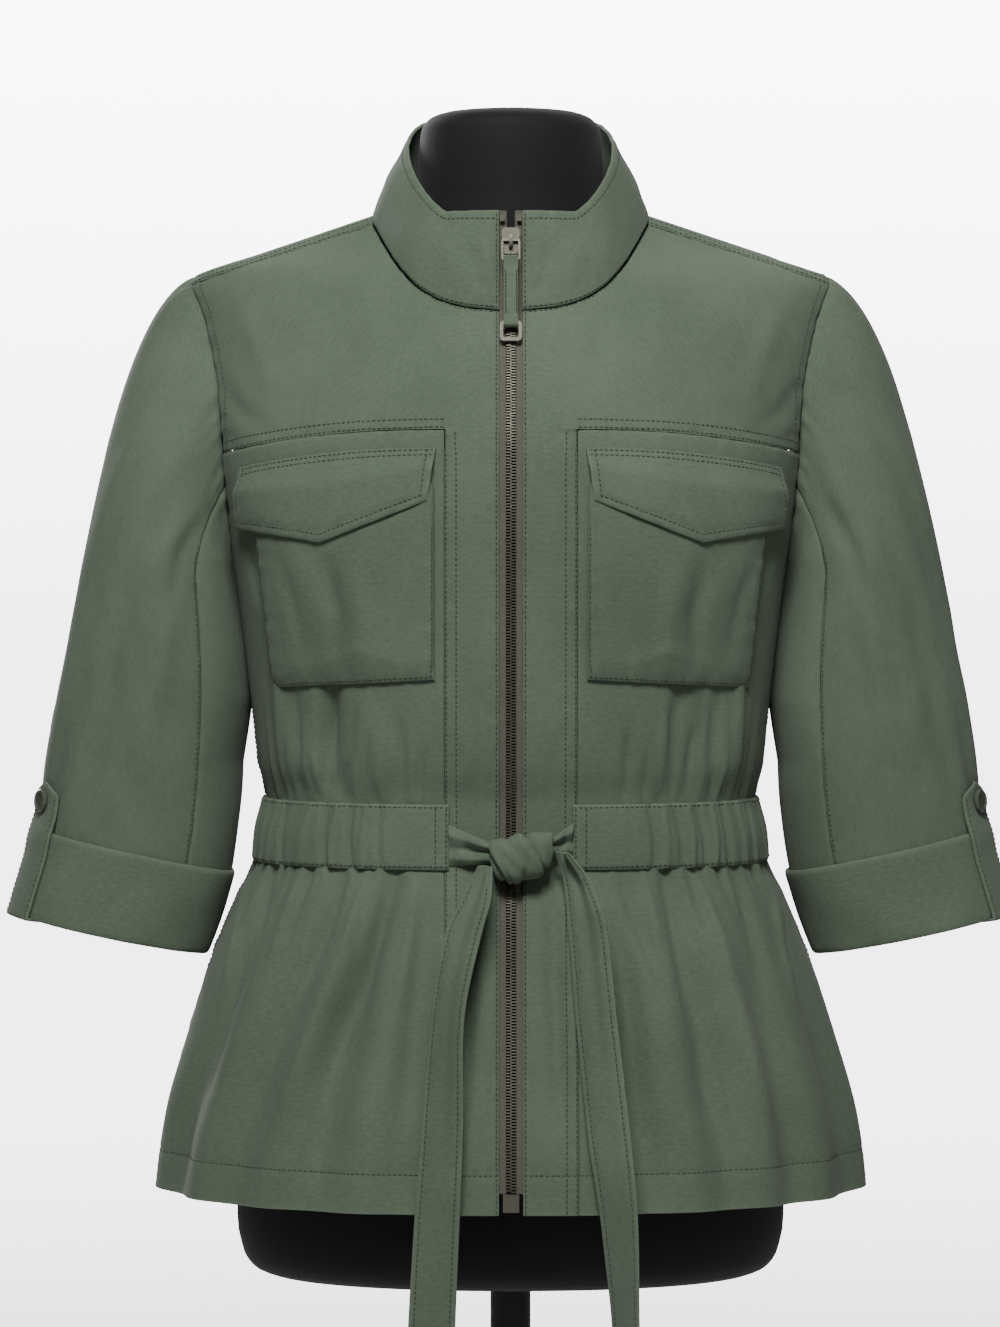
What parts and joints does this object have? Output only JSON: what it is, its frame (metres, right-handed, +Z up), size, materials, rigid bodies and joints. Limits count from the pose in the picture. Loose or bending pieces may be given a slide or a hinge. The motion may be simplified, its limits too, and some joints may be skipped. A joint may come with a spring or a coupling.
{
  "type": "zipped utility jacket on its limbless dress form",
  "caption": "Elbow-sleeved zipped twill utility jacket with a stand collar, flap pockets and a tied waist, on a limbless dress form with pole and round base.",
  "frame": {"origin": "middle of the round base plate's underside, on the pole's axis", "axes": "+Z up along the pole; the jacket faces -Y; +X is the wearer's left"},
  "size_m": [0.6496, 0.382, 1.5061],
  "materials": {
    "twill": "matte",
    "zip_tape": "matte",
    "zip_metal": "satin",
    "button": "satin",
    "form_cloth": "matte",
    "stand_metal": "satin"
  },
  "bodies": {
    "jacket_and_form": {"front_centre_left": "twill", "front_side_left": "twill", "sleeve_upper_left": "twill", "sleeve_under_left": "twill", "cuff_left": "twill", "sleeve_tab_left": "twill", "waist_casing_front_left": "twill", "pocket_bag_left": "twill", "pocket_flap_left": "twill", "tie_strand_left": "twill", "tie_tail_left": "twill", "front_centre_right": "twill", "front_side_right": "twill", "sleeve_upper_right": "twill", "sleeve_under_right": "twill", "cuff_right": "twill", "sleeve_tab_right": "twill", "waist_casing_front_right": "twill", "pocket_bag_right": "twill", "pocket_flap_right": "twill", "tie_strand_right": "twill", "tie_tail_right": "twill", "back": "twill", "collar": "twill", "waist_casing_back": "twill", "tie_knot": "twill", "zip_tape_left": "zip_tape", "zip_tape_right": "zip_tape", "zip_teeth": "zip_metal", "zip_bottom_box": "zip_metal", "zip_top_stop_left": "zip_metal", "zip_top_stop_right": "zip_metal", "zip_slider": "zip_metal", "tab_button_left": "button", "tab_button_right": "button", "form_body": "form_cloth", "stand_pole": "stand_metal", "stand_base": "stand_metal"},
    "zip_pull": {"zip_pull_tab": "zip_metal", "zip_pull_strap": "twill", "zip_pull_ring": "zip_metal"}
  },
  "joints": [
    {"name": "zip_pull_swing", "type": "hinge", "parent": "jacket_and_form", "child": "zip_pull", "pos_m": [0, -0.07896, 1.41662], "axis": [-1, 0, 0], "range_deg": [0, 150]}
  ]
}
